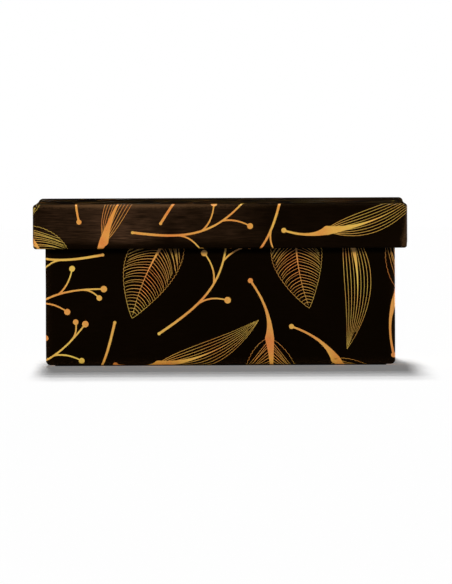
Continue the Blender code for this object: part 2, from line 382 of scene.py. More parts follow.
def patch(wall, columns, rows):
    """Flat points and squares of one patch, and the wall that it lies on."""
    x, y = np.meshgrid(np.sort(columns), np.sort(rows))
    flat = np.column_stack([x.ravel(), y.ravel()])
    corner = np.arange(len(flat)).reshape(x.shape)
    left, right = corner[:, :-1], corner[:, 1:]
    squares = np.stack([left[:-1], right[:-1], right[1:], left[1:]], axis=-1)
    return flat, squares.reshape(-1, 4), np.full(len(flat), wall)


def mitre(flat, axis, depth, low, high, ends=(1, 1)):
    """Cuts the ends of a turned-in flap on a slant, so that two flaps don't lie on each other."""
    cut = MITRE_SLOPE * np.maximum(depth, 0)
    share = (flat[:, axis] - low) / (high - low)
    flat[:, axis] += cut * (ends[0] * (1 - share) - ends[1] * share)


def join(patches):
    """Joins patches by their places on the flat sheet."""
    counts = np.cumsum([0] + [len(flat) for flat, _, _ in patches])
    flat = np.concatenate([flat for flat, _, _ in patches])
    squares = np.concatenate([part[1] + count for part, count in zip(patches, counts)])
    walls = np.concatenate([wall for _, _, wall in patches])
    _, first, merged = np.unique(
        flat.round(POINT_DIGITS), axis=0, return_index=True, return_inverse=True)
    return flat[first], merged.ravel()[squares], walls[first]


# %% Turn points and faces into a mesh
def add_object(name, data):
    """A new object in the scene: a mesh, a lamp or the camera."""
    made = bpy.data.objects.new(name, data)
    bpy.context.scene.collection.objects.link(made)
    return made


def mesh_object(name, points, faces, values):
    """An object whose place is in its mesh, with named values stored on its points."""
    mesh = bpy.data.meshes.new(name)
    mesh.from_pydata(points, [], faces)
    for key, value in values.items():
        kind, field = ("FLOAT_VECTOR", "vector") if value.ndim == 2 else ("FLOAT", "value")
        layer = mesh.attributes.new(key, kind, "POINT")
        layer.data.foreach_set(field, value.astype(np.float32).ravel())
    return add_object(name, mesh)


def settle(made):
    """Replaces an object's mesh by the result of its modifiers, and clears them."""
    graph = bpy.context.evaluated_depsgraph_get()
    mesh = bpy.data.meshes.new_from_object(made.evaluated_get(graph), depsgraph=graph)
    made.modifiers.clear()
    made.data = mesh
    return made


# %% Give a sheet its thickness
SHARP_ANGLE = math.radians(40)


def thicken(made, thickness):
    """Gives a sheet its thickness inwards, and marks the faces of its cut edges."""
    modifier = made.modifiers.new("Thickness", "SOLIDIFY")
    modifier.thickness, modifier.offset = thickness, -1
    modifier.material_offset_rim = 1
    made.data.materials.append(None)
    made.data.materials.append(None)
    mesh = settle(made).data
    cut_edge = np.empty(len(mesh.polygons), np.int32)
    mesh.polygons.foreach_get("material_index", cut_edge)
    mesh.polygons.foreach_set("material_index", np.zeros_like(cut_edge))
    core = mesh.attributes.new("core", "FLOAT", "FACE")
    core.data.foreach_set("value", cut_edge.astype(np.float32))
    mesh.materials.clear()
    mesh.polygons.foreach_set("use_smooth", np.ones(len(cut_edge), bool))
    mesh.set_sharp_from_angle(angle=SHARP_ANGLE)


def describe(made):
    """Prints what was made: its triangles, and edges with fewer or more than two faces."""
    made.data.calc_loop_triangles()
    bm = bmesh.new()
    bm.from_mesh(made.data)
    faces_at_edges = [len(edge.link_faces) for edge in bm.edges]
    bm.free()
    print(made.name, "triangles:", len(made.data.loop_triangles),
          "open edges:", sum(count < 2 for count in faces_at_edges),
          "shared edges:", sum(count > 2 for count in faces_at_edges))


# %% [markdown]
# ## Where the paper is creased
# Paper that is folded round board stretches and rubs at the fold. A value from 0 to 1 is stored on
# each point for that, and the material later uses it for wear, and on the lid for painted
# highlights too.

# %% Values for the creases
def crease(length, distance):
    """1 in the middle of a bend of this length that starts at distance 0, and 0 off it."""
    return smooth(-length, length / 2, distance) * smooth(2 * length, length / 2, distance)


def rim_crease(tray, down):
    """1 on the rim, and 0 on the flat."""
    rise = smooth(tray.rim_start - RIM_RADIUS, tray.rim_middle, down)
    return rise * smooth(tray.rim_end + RIM_RADIUS, tray.rim_inner, down)


# %% How far each place is worn, and where sheen and highlights are painted
FOLD_WEAR, RIM_WEAR, CORNER_WEAR, BASE_WEAR = 0.30, 0.12, 0.22, 0.12
# Where the painted sheen and the painted highlight on the lid's front peak, and how fast they fall
# to the left and to the right.
LIGHT_SPOT_MIDDLE, LIGHT_SPOT_LEFT, LIGHT_SPOT_RIGHT = -0.055, 0.028, 0.038
# The least painted highlight and painted sheen on the lid, and the faint, even painted sheen of the
# base.
LEAST_FRONT_HIGHLIGHT, LEAST_PAINTED_SHEEN, BASE_PAINTED_SHEEN = 0.05, 0.05, 0.02
# A painted highlight strip down the lid's right front corner: its strength, where its edge lies at
# the top, and how far that edge moves across the corner further down.
CORNER_HIGHLIGHT, CORNER_HIGHLIGHT_START, CORNER_HIGHLIGHT_GROWTH = 0.45, 0.55, 0.95
# The painted sheen fades out above the rim and near the ends of the front flap.
SHEEN_RIM_FADE, SHEEN_END_FADE = 0.005, 0.004


def painted_light_spot(x):
    """1 on the lid's front where the painted sheen and highlight peak, and less to both sides."""
    spread = np.where(x < LIGHT_SPOT_MIDDLE, LIGHT_SPOT_LEFT, LIGHT_SPOT_RIGHT)
    return np.exp(-0.5 * ((x - LIGHT_SPOT_MIDDLE) / spread) ** 2)


def lid_wear_and_highlight(x, y):
    """Worn folds, rim and corners, with painted highlights on the front top fold and the right
    front corner.
    """
    beyond_x, beyond_y = np.abs(x) - lid.flat_width, np.abs(y) - lid.flat_depth
    in_front = smooth(-2 * lid.fold_end, -lid.fold_end, -y - lid.flat_depth)
    # The front top fold is painted pale as a highlight, strongest at the light spot.
    front_highlight = LEAST_FRONT_HIGHLIGHT + (1 - LEAST_FRONT_HIGHLIGHT) * painted_light_spot(x)
    long_fold, short_fold = (crease(lid.fold_end, beyond) ** 2 for beyond in (beyond_y, beyond_x))
    fold = long_fold * (FOLD_WEAR + (front_highlight - FOLD_WEAR) * in_front)
    fold = np.maximum(fold, short_fold * FOLD_WEAR * (beyond_y < 0))
    rim = RIM_WEAR * np.maximum(rim_crease(lid, beyond_x), rim_crease(lid, beyond_y)) ** 2
    corner = CORNER_WEAR * crease(lid.corner, beyond_x) ** 2 * (beyond_y > 0)
    # The split here is a painted highlight: a pale strip down the right front corner, where the
    # rounded corner catches light.
    highlight_edge = lid.corner * (CORNER_HIGHLIGHT_START - CORNER_HIGHLIGHT_GROWTH * beyond_y / lid.rim_start)
    split = smooth(0, lid.corner / 4, beyond_x - highlight_edge) * (x > 0) * (y < 0)
    split *= smooth(0, lid.fold_end, beyond_y) * smooth(lid.rim_middle, lid.rim_start, beyond_y)
    return np.max([fold, rim, corner, CORNER_HIGHLIGHT * split], axis=0)


def lid_painted_sheen(x, y):
    """A painted brown sheen on the front flap, strongest round one spot and less to both sides."""
    down = -y - lid.flat_depth
    above_rim = smooth(lid.rim_start, lid.rim_start - SHEEN_RIM_FADE, down)
    flap = smooth(0, lid.fold_end, down) * above_rim
    end = smooth(lid.flat_width + lid.corner, lid.flat_width - SHEEN_END_FADE, np.abs(x))
    return LEAST_PAINTED_SHEEN + (1 - LEAST_PAINTED_SHEEN) * painted_light_spot(x) * flap * end


for x in (LIGHT_SPOT_MIDDLE, 0.0, -LIGHT_SPOT_MIDDLE):
    painted_sheen_amount = lid_painted_sheen(x, -lid.flat_depth - lid.rim_start / 2)
    print("front flap at", x, "rubbed:", round(float(painted_sheen_amount), 3))

# %% [markdown]
# ## The two cover sheets
# Now both sheets can be made. The base's strip is a row of flat stretches with a bend between
# each two. It starts and ends on the back, so that wall has two stretches. The lid's sheet is
# the top with four flaps, and its long flaps carry the tabs that go round the corners.

# %% Stretches of the base's strip
def strip_stretches():
    """Each flat stretch of the strip, as wall, start and end, from one end to the other."""
    for turn in (-1, 0):
        for wall in range(4):
            start = strip_walls[wall] + turn * strip_length
            low = max(start, strip_start)
            high = min(start + 2 * strip_flats[wall], strip_end + SEAM_LAP)
            if low < high:
                yield wall, low, high


def strip_rises(wall, low, high):
    """The close lines of one stretch, on its tapes and at the seam's lap."""
    flat = strip_flats[wall]
    middle = (high if low == strip_start else low + 2 * flat) - flat
    lap = lines(strip_end - LAP_SLOPE, strip_end, BEND_STEPS)
    return [*tape_rises(flat, middle), lap]


# %% Fold the base's cover
def make_base_cover():
    """The strip as one sheet, with wear stored at its folds, its corners and its rim."""
    patches, corners = [], []
    rows = section_lines(base, -UNDER_TURN)
    corner_rows = corner_lines(base, rows)
    for wall, low, high in strip_stretches():
        stretch = patch(wall, lines_with_rises(low, high, strip_rises(wall, low, high)), rows)
        ends = (int(low > strip_start), int(high < strip_end))
        mitre(stretch[0], 0, stretch[0][:, 1] - base.rim_end, low, high, ends)
        patches.append(stretch)
        if high < strip_end:
            patches.append(patch(wall, lines(high, high + base.corner, BEND_STEPS), corner_rows))
            corners.append(high)
    flat, squares, walls = join(patches)
    points = wrap_round_base(walls, flat[:, 0], flat[:, 1], 0.0)
    creases = [crease(base.corner, flat[:, 0] - place) for place in corners]
    creases += [crease(base.fold_end, flat[:, 1]), rim_crease(base, flat[:, 1])]
    values = {
        "sheet": np.column_stack([flat, np.zeros(len(flat))]),
        "wear_and_highlight": BASE_WEAR * np.max(creases, axis=0) ** 2,
        # A faint, even painted sheen on the base.
        "painted_sheen_amount": np.full(len(flat), BASE_PAINTED_SHEEN),
    }
    made = mesh_object("base_cover", points, squares, values)
    thicken(made, COVER_PAPER)
    return made


base_cover = make_base_cover()
describe(base_cover)


# %% Fold the lid's cover
def make_lid_cover():
    """The top with its four flaps and their tabs as one sheet, with its wear, painted highlights
    and painted sheen stored on it.
    """
    rows = section_lines(lid)
    corner_rows = corner_lines(lid, rows)
    tab_rows = rows[(rows > lid.fold_end - ROW_SLACK) & (rows < lid.rim_start + ROW_SLACK)]
    across = lines_with_rises(-lid.flat_width, lid.flat_width, tape_rises(lid.flat_width))
    up = lines_with_rises(-lid.flat_depth, lid.flat_depth, tape_rises(lid.flat_depth) + tab_rises())
    corner = lines(lid.flat_width, lid.flat_width + lid.corner, BEND_STEPS)
    tab = lines(corner[-1], corner[-1] + TAB_LENGTH)
    patches = [patch(TOP, across, up)]
    for long_wall, short_wall, side in ((FRONT, LEFT, -1), (BACK, RIGHT, 1)):
        long_flap = patch(long_wall, across, side * (lid.flat_depth + rows))
        short_flap = patch(short_wall, side * (lid.flat_width + rows), up)
        depth = np.abs(long_flap[0][:, 1]) - lid.flat_depth - lid.rim_end
        mitre(long_flap[0], 0, depth, -lid.flat_width, lid.flat_width)
        depth = np.abs(short_flap[0][:, 0]) - lid.flat_width - lid.rim_end
        mitre(short_flap[0], 1, depth, -lid.flat_depth, lid.flat_depth)
        patches += [long_flap, short_flap]
        for end in (-1, 1):
            patches.append(patch(long_wall, end * corner, side * (lid.flat_depth + corner_rows)))
            patches.append(patch(long_wall, end * tab, side * (lid.flat_depth + tab_rows)))
    flat, squares, walls = join(patches)
    points = wrap_over_lid(walls, flat[:, 0], flat[:, 1], 0.0)
    x, y = flat.T
    values = {"sheet": np.column_stack([x, y, 0 * x]), "wear_and_highlight": lid_wear_and_highlight(x, y), "painted_sheen_amount": lid_painted_sheen(x, y)}
    made = mesh_object("lid_cover", points, squares, values)
    thicken(made, COVER_PAPER)
    return made


lid_cover = make_lid_cover()
describe(lid_cover)

# %% [markdown]
# ## The motifs of the print
# The print is a fine-line pattern of leaves and berries. A line on paper could be a texture, but
# here each line is geometry, so that it is kept in the exported model. A motif is first only a
# drawing: chains of points that carry a line width, and single points that carry a dot's size.

# %% A drawing of strokes and dots
DOT_TIP = 0.3

# Layers of ink above the lowest one. The sprig's stem lies with the edges.
EDGE_LAYER, RIB_LAYER, TOP_LAYER = 1, 2, 3


class Drawing:
    """Strokes and dots of one motif, flat, in metres."""

    def __init__(self, name, centre, mirrored):
        self.name, self.centre, self.side = name, np.array(centre), -1 if mirrored else 1
        self.points, self.edges = [], []
        self.values = {"width": [], "dot": [], "tip": [], "layer": []}

    def put(self, point, **values):
        """One point, measured from the motif's middle. A value that isn't given is 0."""
        x, y = np.asarray(point) - self.centre
        self.points.append((x, y * self.side, 0))
        for key, stored in self.values.items():
            stored.append(values.get(key, 0.0))

    def stroke(self, path, widths, tips=(0, 1), layer=0, taper=1):
        """A line through the path. Width and tip value go from the first to the last."""
        first, last = len(self.points), len(self.points) + len(path) - 1
        self.edges += [(k, k + 1) for k in range(first, last)]
        for share, point in zip(np.linspace(0, 1, len(path)), path):
            width = widths[1] + (widths[0] - widths[1]) * (1 - share) ** taper
            tip = tips[0] + share * (tips[1] - tips[0])
            self.put(point, width=width, tip=tip, layer=layer)

    def dot(self, point, radius, tip=DOT_TIP):
        """A single point that becomes a round dot."""
        self.put(point, dot=radius, tip=tip, layer=TOP_LAYER)

    def finish(self, collection):
        """Turns the drawing into an object of this collection."""
        mesh = bpy.data.meshes.new(self.name)
        mesh.from_pydata(self.points, self.edges, [])
        for key, stored in self.values.items():
            mesh.attributes.new(key, "FLOAT", "POINT").data.foreach_set("value", stored)
        collection.objects.link(bpy.data.objects.new(self.name, mesh))


# %% A smooth curve to draw along
def curve(start, bend, end, count):
    """Points on a smooth curve from start to end, drawn towards bend on its way."""
    t = np.linspace(0, 1, count)[:, None]
    start, bend, end = (np.asarray(point, float) for point in (start, bend, end))
    return (1 - t) ** 2 * start + 2 * t * (1 - t) * bend + t * t * end


# %% The outline, the stem and the midrib of a leaf
HAIRLINE, STEM_WIDTH, RIB_FOOT = 0.00016, 0.0014, 0.0050
STEM_TAPER, STEM_DROP, STEM_NARROWING = 3.5, 0.45, 0.8
STEM_STEPS, RIB_STEPS = 16, 24

# A leaf is widest a little below its middle, and full towards both ends.
SKEW, FULLNESS = 0.78, 0.85


def leaf_point(share, across, length, half_width, bow, **_):
    """A point of the leaf: share of its length, and share of its width from the midrib."""
    width = half_width * np.sin(math.pi * np.clip(share, 0, 1) ** SKEW) ** FULLNESS
    return np.array([length * share, 4 * bow * share * (1 - share) + across * width])


def stem_and_midrib(drawing, leaf, rib_end, rib_taper):
    """A stem that swells into the foot of the leaf, and the midrib that runs on from there."""
    stem = leaf["stem"]
    path = curve((0, 0), (-0.5 * stem, 0), (-stem, -STEM_DROP * stem), STEM_STEPS)
    widths = RIB_FOOT, STEM_NARROWING * STEM_WIDTH
    drawing.stroke(path, widths, (0, 0), RIB_LAYER, taper=STEM_TAPER)
    drawing.dot(path[0], RIB_FOOT / 2, 0)
    drawing.dot(path[-1], STEM_WIDTH, 0)
    midrib = [leaf_point(share, 0, **leaf) for share in np.linspace(0, rib_end, RIB_STEPS)]
    drawing.stroke(midrib, (RIB_FOOT, HAIRLINE), (0, 1), RIB_LAYER, taper=rib_taper)


# %% The veined leaf
LEAF = {"length": 0.052, "half_width": 0.0135, "bow": 0.003, "stem": 0.027}
LEAF_VEINS, VEIN_STEPS, SCALLOP = 30, 6, 0.04
FIRST_VEIN, LAST_VEIN, RIB_END = 0.01, 0.94, 0.97
VEIN_SLANT, SLANT_LOSS, VEIN_BEND, VEIN_BULGE, VEIN_TAPER = 0.30, 0.08, 0.35, 0.62, (1.5, 0.8)
VEIN_SHIFTS, VEIN_LENGTHS, VEIN_WIDTHS = (-0.005, 0.005), (0.86, 0.98), (0.8, 1.25)
draw = np.random.default_rng(7)


def draw_leaf(drawing):
    """A midrib, a scalloped edge, and curved veins to both sides that slant to the tip."""
    stem_and_midrib(drawing, LEAF, RIB_END, STEM_TAPER)
    for side in (-1, 1):
        shares = np.linspace(0, 1, 2 * LEAF_VEINS)
        scallops = 1 - SCALLOP * (np.arange(len(shares)) % 2)
        edge = [leaf_point(share, side * wide, **LEAF) for share, wide in zip(shares, scallops)]
        drawing.stroke(edge, (HAIRLINE, HAIRLINE), (0.3, 1), EDGE_LAYER)
        for vein in np.linspace(FIRST_VEIN, LAST_VEIN, LEAF_VEINS):
            vein = vein + draw.uniform(*VEIN_SHIFTS)
            reach = vein + (1 - vein) * (VEIN_SLANT - SLANT_LOSS * vein)
            length = draw.uniform(*VEIN_LENGTHS)
            bend = vein + VEIN_BEND * (reach - vein), VEIN_BULGE * side * length
            path = curve(leaf_point(vein, 0, **LEAF), leaf_point(*bend, **LEAF),
                         leaf_point(reach, side * length, **LEAF), VEIN_STEPS)
            thick = draw.uniform(*VEIN_WIDTHS)
            widths = [share * thick * HAIRLINE for share in VEIN_TAPER]
            drawing.stroke(path, widths, (0.1 + 0.4 * vein, 0.8 + 0.2 * vein))


# %% The narrow blade
BLADE = {"length": 0.056, "half_width": 0.0060, "bow": 0.005, "stem": 0.020}
BLADE_LINES, BLADE_STEPS, BLADE_TAPER = 9, 22, 4
LINE_WIDTHS = 1.6 * HAIRLINE, 0.8 * HAIRLINE


def draw_blade(drawing):
    """A midrib, with long lines beside it that run from the foot to the tip."""
    stem_and_midrib(drawing, BLADE, 1, BLADE_TAPER)
    for across in np.linspace(-1, 1, BLADE_LINES):
        end = 1 if abs(across) == 1 else draw.uniform(*VEIN_LENGTHS)
        path = [leaf_point(share, across, **BLADE) for share in np.linspace(0, end, BLADE_STEPS)]
        drawing.stroke(path, LINE_WIDTHS, (0, 1))


# %% The berry sprig
SPRIG_LENGTH, SPRIG_RISE, BERRY_RADIUS = 0.064, 0.013, 0.0018
SPRIG_STEPS, BRANCH_STEPS, SPRIG_ARC, BRANCH_BEND = 26, 8, 0.9, 0.4
SPRIG_END, BRANCH_WIDTHS = 0.6 * STEM_WIDTH, (0.7 * STEM_WIDTH, 0.5 * STEM_WIDTH)

# Each branch: its place along the sprig, its turn in radians and its length.
SPRIG_BRANCHES = [(0.30, 0.95, 0.015), (0.50, -0.75, 0.015),
                  (0.68, 0.6, 0.014), (0.84, -0.9, 0.010)]


def sprig_point(share):
    """A point of the sprig's stem, at a share of its length."""
    return np.array([SPRIG_LENGTH * share, SPRIG_RISE * math.sin(SPRIG_ARC * math.pi * share)])


def draw_sprig(drawing):
    """A bent stem with a berry at its tip and one on each branch, smaller towards the tip."""
    path = [sprig_point(share) for share in np.linspace(0, 1, SPRIG_STEPS)]
    drawing.stroke(path, (STEM_WIDTH, SPRIG_END), (0, 0.6), EDGE_LAYER)
    drawing.dot(path[-1], BERRY_RADIUS)
    drawing.dot(path[0], SPRIG_END)
    for share, turn, reach in SPRIG_BRANCHES:
        start = sprig_point(share)
        end = start + reach * np.array([math.cos(turn), math.sin(turn)])
        less = BRANCH_BEND * turn
        bend = start + 0.5 * reach * np.array([math.cos(less), math.sin(less)])
        drawing.stroke(curve(start, bend, end, BRANCH_STEPS), BRANCH_WIDTHS, (0.2, 0.6))
        drawing.dot(end, BERRY_RADIUS * (1.1 - 0.3 * share))


# %% Draw each motif and its mirror image
motifs = bpy.data.collections.new("motifs")

# Each motif, and the middle that it is turned about.
MOTIFS = [(draw_leaf, (0.0251, 0.0018)), (draw_blade, (0.0271, 0.0031)),
          (draw_sprig, (0.0376, 0.0100))]
for number in range(2 * len(MOTIFS)):
    draw_motif, centre = MOTIFS[number % len(MOTIFS)]
    drawing = Drawing(f"motif_{number}", centre, number >= len(MOTIFS))
    draw_motif(drawing)
    drawing.finish(motifs)
    print(drawing.name, "points:", len(drawing.points))

# %% [markdown]
# ## The repeating tile
# Printed paper repeats. The tile holds each motif's kind, its place as a share of the tile's
# width and height, its turn in degrees and its size. Kinds 3 to 5 are the mirror images. The
# same tile is laid side by side over each sheet, shifted a little, because sheets are cut from
# the roll without regard to the print.

# %% Places on the tile
PATTERN_SCALE = 1.12
TILE_WIDTH, TILE_HEIGHT = 0.236 * PATTERN_SCALE, 0.118 * PATTERN_SCALE
TILE = [
    (0, 0.098, 0.907, 264, 1.00), (3, 0.164, 0.455, 277, 0.94), (0, 0.417, 0.519, 61, 1.06),
    (3, 0.859, 0.413, 244, 0.98), (0, 0.290, 0.872, 299, 0.90), (3, 0.809, 0.723, 214, 1.03),
    (1, 0.463, 0.173, 56, 1.00), (4, 0.540, 0.788, 154, 0.92), (1, 0.276, 0.339, 270, 1.08),
    (4, 0.977, 0.077, 24, 0.96), (2, 0.648, 0.266, 28, 1.00), (5, 0.986, 0.402, 64, 1.05),
    (2, 0.606, 0.495, 160, 0.92), (5, 0.629, 0.050, 23, 0.98), (2, 0.708, 0.914, 227, 0.94),
]

# No motif reaches further than this from its middle.
MOTIF_REACH = 0.06

# Enough copies of the tile to cover the long strip.
TILE_COLUMNS, TILE_ROWS = range(-4, 5), range(-3, 4)


def placement(name, low, high, shift):
    """Points for all motifs that can reach into the sheet, with their kind, turn and size."""
    rows = []
    for column in TILE_COLUMNS:
        for row in TILE_ROWS:
            for kind, x, y, turn, size in TILE:
                place = (column + x + shift[0]) * TILE_WIDTH, (row + y + shift[1]) * TILE_HEIGHT
                near = (a - MOTIF_REACH < p < b + MOTIF_REACH for a, p, b in zip(low, place, high))
                if all(near):
                    rows.append((*place, 0, kind, math.radians(turn), size * PATTERN_SCALE))
    rows = np.array(rows)
    values = {"kind": rows[:, 3], "turn": rows[:, 4], "size": rows[:, 5]}
    print(name, "motifs:", len(rows))
    return mesh_object(name, rows[:, :3], [], values)


# %% [markdown]
# ## Ink from lines
# Geometry Nodes turn the drawings into ink. The tree puts a motif on each point, makes the
# chains curves, and sweeps a flat line along them, scaled by the stored width. Dots become small
# discs. Its last two nodes make real geometry and give it its material.

# %% Give nodes their inputs
def feed(tree, socket, value):
    """Gives one input its value, which is plain or comes from another node."""
    if isinstance(value, bpy.types.NodeSocket):
        tree.links.new(value, socket)
    else:
        socket.default_value = value


def set_inputs(tree, node, **inputs):
    """Feeds named inputs of a node. A space in a name is written as an underscore."""
    for key, value in inputs.items():
        socket = next(s for s in node.inputs if s.enabled and s.name.replace(" ", "_") == key)
        feed(tree, socket, value)


# %% Add nodes and groups
def add_node(tree, kind, settings=None, **inputs):
    """Adds a node, with its settings and with values or links on its named inputs."""
    node = tree.nodes.new(kind)
    for key, value in (settings or {}).items():
        setattr(node, key, value)
    set_inputs(tree, node, **inputs)
    return node


def new_group(name, kind, inputs, outputs):
    """A node group with named inputs and outputs, and its two end nodes."""
    tree = bpy.data.node_groups.new(name, kind)
    for way, sockets in (("INPUT", inputs), ("OUTPUT", outputs)):
        for label, (socket_type, value) in sockets.items():
            socket = tree.interface.new_socket(
                label, in_out=way, socket_type=f"NodeSocket{socket_type}")
            if value is not None:
                socket.default_value = value
    return tree, tree.nodes.new("NodeGroupInput").outputs, tree.nodes.new("NodeGroupOutput").inputs


# %% Read a stored value, and do sums
def stored(tree, name):
    """The output of a Geometry Nodes node that reads a stored value."""
    kind = "GeometryNodeInputNamedAttribute"
    return add_node(tree, kind, {"data_type": "FLOAT"}, Name=name).outputs["Attribute"]


def math_node(tree, operation, *values, kind="ShaderNodeMath"):
    """The output of a maths node. Each value is a number or a socket."""
    node = add_node(tree, kind, {"operation": operation})
    for socket, value in zip(node.inputs, values):
        feed(tree, socket, value)
    return node.outputs[0]


# %% The tree that inks the pattern
def ink_tree():
    """The tree that turns placed drawings into flat faces of ink."""
    tree, given, result = new_group(
        "Inked pattern", "GeometryNodeTree",
        {"Geometry": ("Geometry", None), "Motifs": ("Collection", None),
         "Line Scale": ("Float", 1.0), "Dot Sides": ("Int", 18), "Ink": ("Material", None)},
        {"Geometry": ("Geometry", None)})

    def make(kind, settings=None, **inputs):
        return add_node(tree, f"GeometryNode{kind}", settings, **inputs).outputs[0]

    # A motif on each point, as real chains of points.
    kinds = make("CollectionInfo", Collection=given["Motifs"],
                 Separate_Children=True, Reset_Children=True)
    turn = add_node(tree, "ShaderNodeCombineXYZ", Z=stored(tree, "turn")).outputs[0]
    placed = make("InstanceOnPoints", Points=given["Geometry"], Instance=kinds, Rotation=turn,
                  Pick_Instance=True, Instance_Index=stored(tree, "kind"),
                  Scale=stored(tree, "size"))
    drawn = make("RealizeInstances", Geometry=placed)

    # A flat line swept along each chain, like a nib.
    chains = make("MeshToCurve", Mesh=drawn)
    upright = make("SetCurveNormal", {"mode": "Z_UP"}, Curve=chains)
    nib = make("CurvePrimitiveLine", Start=(-0.5, 0, 0), End=(0.5, 0, 0))
    width = math_node(tree, "MULTIPLY", stored(tree, "width"), given["Line Scale"])
    strokes = make("CurveToMesh", Curve=upright, Profile_Curve=nib, Scale=width)

    # A disc on each dot.
    is_dot = add_node(tree, "FunctionNodeCompare", {"operation": "GREATER_THAN"},
                      A=stored(tree, "dot")).outputs[0]
    spots = make("MeshToPoints", Mesh=drawn, Selection=is_dot)
    disc = make("MeshCircle", {"fill_type": "NGON"}, Vertices=given["Dot Sides"], Radius=1.0)
    discs = make("InstanceOnPoints", Points=spots, Instance=disc, Scale=stored(tree, "dot"))

    both = add_node(tree, "GeometryNodeJoinGeometry")
    for part in (strokes, discs):
        tree.links.new(part, both.inputs[0])
    real = make("RealizeInstances", Geometry=both.outputs[0])
    inked = make("SetMaterial", Geometry=real, Material=given["Ink"])
    tree.links.new(inked, result["Geometry"])
    return tree


# %% Run the tree on an object
def apply_tree(made, tree, **values):
    """Runs a tree on an object and keeps the plain mesh that comes out."""
    modifier = made.modifiers.new(tree.name, "NODES")
    modifier.node_group = tree
    for item in tree.interface.items_tree:
        if item.in_out == "INPUT" and item.name.replace(" ", "_") in values:
            modifier[item.identifier] = values[item.name.replace(" ", "_")]
    return settle(made)


pattern_tree = ink_tree()
gold_print = bpy.data.materials.new("gold_print")
print(pattern_tree.name, "nodes:", len(pattern_tree.nodes))

# %% [markdown]
# ## Print on folded paper
# The inked pattern is flat. Before it can be folded it is cut along every line where the paper
# bends, and what falls off the sheet is thrown away. Then each face goes through the folding
# function of the wall that it lies on. The ink is a closed solid. At least half of it is sunk in
# the paper, so that it stands only a hundredth of a millimetre proud. Any more, and its sides
# show from a low view.

# %% Cut the flat print
CUT_DISTANCE = 1e-8


def cut_lines(bm, axis, places):
    """Cuts the flat mesh along lines of constant x (axis 0) or y (axis 1), given in order."""
    normal = Vector((1, 0, 0)) if axis == 0 else Vector((0, 1, 0))
    for run in np.split(places, np.flatnonzero(np.diff(places) > 2 * GRID_STEP) + 1):
        faces = []
        for face in bm.faces:
            across = [vert.co[axis] for vert in face.verts]
            if max(across) > run[0] and min(across) < run[-1]:
                faces.append(face)
        parts = dict.fromkeys(part for face in faces for part in (*face.edges, *face.verts))
        cut = [*parts, *faces]
        for place in run:
            cut = bmesh.ops.bisect_plane(
                bm, geom=cut, dist=CUT_DISTANCE, plane_co=normal * place, plane_no=normal)["geom"]


def flat_faces(bm):
    """The flat print as numbers: its points, the point at each face's corners, the face sizes.

    Each point has its place, its layer and its tip value.
    """
    layer, tip = (bm.verts.layers.float[key] for key in ("layer", "tip"))
    bm.verts.index_update()
    points = np.array([(*vert.co[:2], vert[layer], vert[tip]) for vert in bm.verts])
    corners = np.array([vert.index for face in bm.faces for vert in face.verts])
    return points, corners, np.array([len(face.verts) for face in bm.faces])


# %% Fold the print and give it thickness
INK_PROUD, INK_LAYER, INK_THICKNESS = 0.000007, 0.0000015, 0.000022
WELD_DISTANCE = 1e-6


def fold_print(flat_print, name, cuts, wall_of, fold):
    """Cuts the flat print, keeps the faces that lie on a wall, folds and thickens them."""
    bm = bmesh.new()
    bm.from_mesh(flat_print.data)
    for axis, places in cuts:
        cut_lines(bm, axis, places)
    flat, corners, sizes = flat_faces(bm)
    bm.free()
    owner = np.repeat(np.arange(len(sizes)), sizes)
    wall = wall_of(*(np.bincount(owner, flat[corners, k]) / sizes for k in (0, 1)))
    kept = wall >= 0
    corners, walls = corners[kept[owner]], wall[owner][kept[owner]]
    x, y, layer, tip = flat[corners].T
    points = fold(walls, x, y, INK_PROUD + INK_LAYER * layer)
    # Faces that share a flat point stay joined, unless the folded paper parts there.
    keys = np.column_stack([corners, (points / WELD_DISTANCE).round()])
    _, first, number = np.unique(keys, axis=0, return_index=True, return_inverse=True)
    faces = [list(face) for face in np.split(number.ravel(), np.cumsum(sizes[kept])[:-1])]
    sheet = np.column_stack([x, y, 0 * x])[first]
    made = mesh_object(name, points[first], faces, {"sheet": sheet, "tip": tip[first]})
    bm = bmesh.new()
    bm.from_mesh(made.data)
    bmesh.ops.dissolve_degenerate(bm, edges=bm.edges, dist=WELD_DISTANCE)
    bm.to_mesh(made.data)
    bm.free()
    thicken(made, INK_THICKNESS)
    bpy.data.objects.remove(flat_print)
    return made


# %% Print the base's strip
EDGE_MARGIN = 0.0003
BASE_SHIFT = 0.0, 0.0


def on_base(x, y):
    """The wall under a place on the strip, or -1 where no print shows."""
    wall = np.full(len(x), -1)
    for number, low, high in strip_stretches():
        trimmed = np.where(y > base.rim_end, MITRE_SLOPE * (y - base.rim_end), 0)
        stretch = (x > low + trimmed) & (x < high - trimmed)
        corner = (x >= high) & (x < high + base.corner) & (y > base.fold_end) & (y < base.rim_start)
        wall[stretch | (corner & (high < strip_end))] = number
    under_lap = x < strip_start + SEAM_LAP
    past_edge = (y < EDGE_MARGIN - UNDER_TURN) | (y > base.sheet_end - EDGE_MARGIN)
    return np.where(under_lap | past_edge, -1, wall)


def base_cuts():
    """Where the flat print is cut: the edges of the sheet and every bend and rise."""
    across = [strip_start + SEAM_LAP, strip_end + SEAM_LAP]
    for wall, low, high in strip_stretches():
        across.extend(lines(high, high + base.corner, BEND_STEPS))
        across.extend(np.concatenate(strip_rises(wall, low, high)))
    across = np.unique(np.round(across, LINE_DIGITS))
    up = [EDGE_MARGIN - UNDER_TURN, *np.concatenate(bend_lines(base)), base.sheet_end - EDGE_MARGIN]
    return [(0, across), (1, up)]


